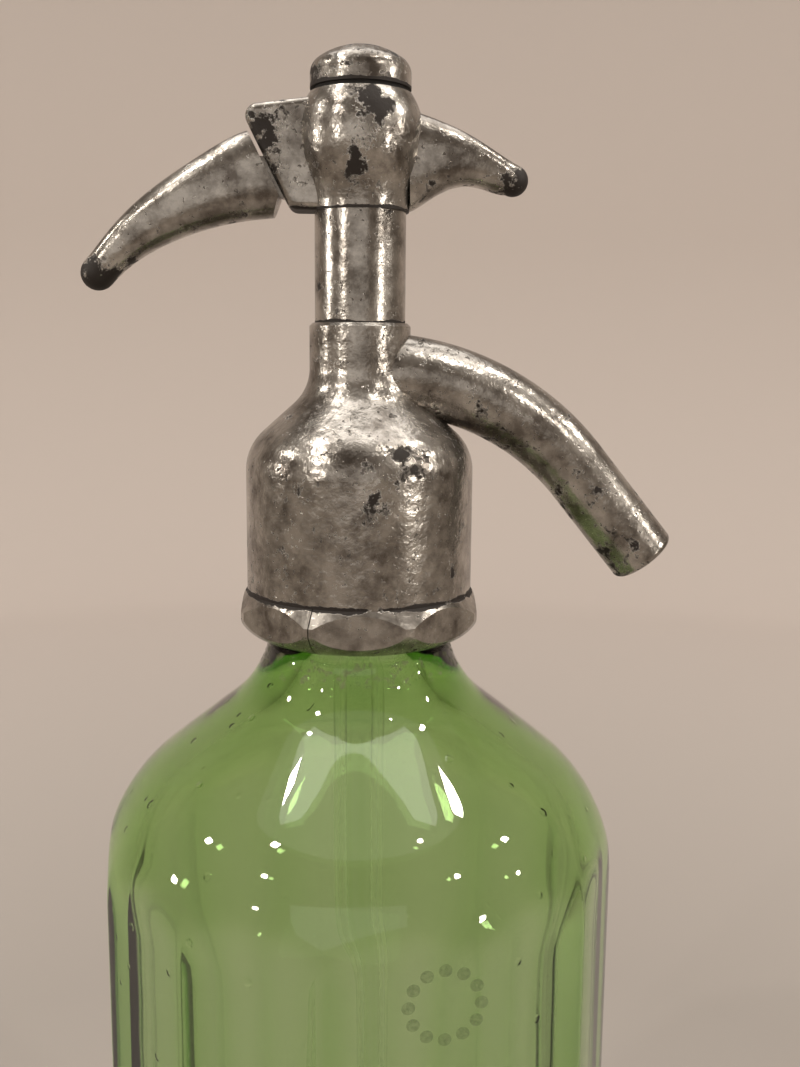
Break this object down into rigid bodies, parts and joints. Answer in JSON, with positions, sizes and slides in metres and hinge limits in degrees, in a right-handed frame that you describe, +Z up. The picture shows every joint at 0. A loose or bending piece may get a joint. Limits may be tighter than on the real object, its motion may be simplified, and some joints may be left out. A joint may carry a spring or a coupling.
{
  "type": "soda siphon",
  "caption": "Soda siphon: thick twelve-sided glass bottle with a cast lever head, a curved spout, a dip tube and a spring-loaded lift valve.",
  "frame": {"origin": "on the bottle's axis, in the plane that it stands on", "axes": "+Z up along the bottle's axis, +X towards the spout, -X towards the lever, -Y towards the viewer of the picture"},
  "size_m": [0.1082, 0.0972, 0.3104],
  "materials": {
    "bottle_glass": "thick pale yellow-green moulded glass",
    "tube_glass": "plain drawn glass tube",
    "collar_metal": "worn tin-plated casting, warm grey with dark brown oxide",
    "head_metal": "worn tin-plated casting, warm grey with dark brown oxide",
    "spout_metal": "worn tin-plated casting, warm grey with dark brown oxide",
    "column_metal": "worn tin-plated casting, warm grey with dark brown oxide",
    "ball_metal": "worn tin-plated casting, warm grey with dark brown oxide",
    "horn_metal": "worn tin-plated casting, warm grey with dark brown oxide",
    "lever_metal": "worn tin-plated casting, warm grey with dark brown oxide",
    "cap_metal": "worn tin-plated casting, warm grey with dark brown oxide",
    "bare_brass": "turned, dull",
    "spring_steel": "drawn wire",
    "black_rubber": "aged"
  },
  "bodies": {
    "body": {"glass_bottle": "bottle_glass", "dip_tube": "tube_glass", "collar_half_left": "collar_metal", "collar_half_right": "collar_metal", "neck_packing": "black_rubber", "head_washer": "black_rubber", "head_barrel": "head_metal", "spout": "spout_metal", "valve_seat": "bare_brass", "tube_ferrule": "bare_brass", "tube_grommet": "black_rubber", "column_tube": "column_metal", "gland_packing": "black_rubber", "gland_washer": "bare_brass", "valve_head": "ball_metal", "finger_horn": "horn_metal", "lever_pin": "ball_metal", "return_spring": "spring_steel", "screw_cap": "cap_metal", "cap_washer": "black_rubber"},
    "lever": {"lever": "lever_metal"},
    "piston": {"piston_rod": "bare_brass", "valve_disc": "bare_brass", "valve_rubber": "black_rubber", "valve_screw": "bare_brass", "spring_washer": "bare_brass"}
  },
  "joints": [
    {"name": "lever_pivot", "type": "hinge", "parent": "body", "child": "lever", "pos_m": [-0.0112, 0, 0.28688], "axis": [0, -1, 0], "range_deg": [0, 11], "stiffness_Nm_per_rad": 0.3, "springref_deg": -20.05},
    {"name": "piston_lift", "type": "slide", "parent": "body", "child": "piston", "axis": [0, 0, 1], "range_m": [0, 0.0022], "stiffness_N_per_m": 10, "springref_m": 0.0125, "deforming": ["return_spring"]}
  ],
  "couplings": [
    {"joint": "piston_lift", "follows": "lever_pivot", "m_per_rad": 0.0112}
  ]
}
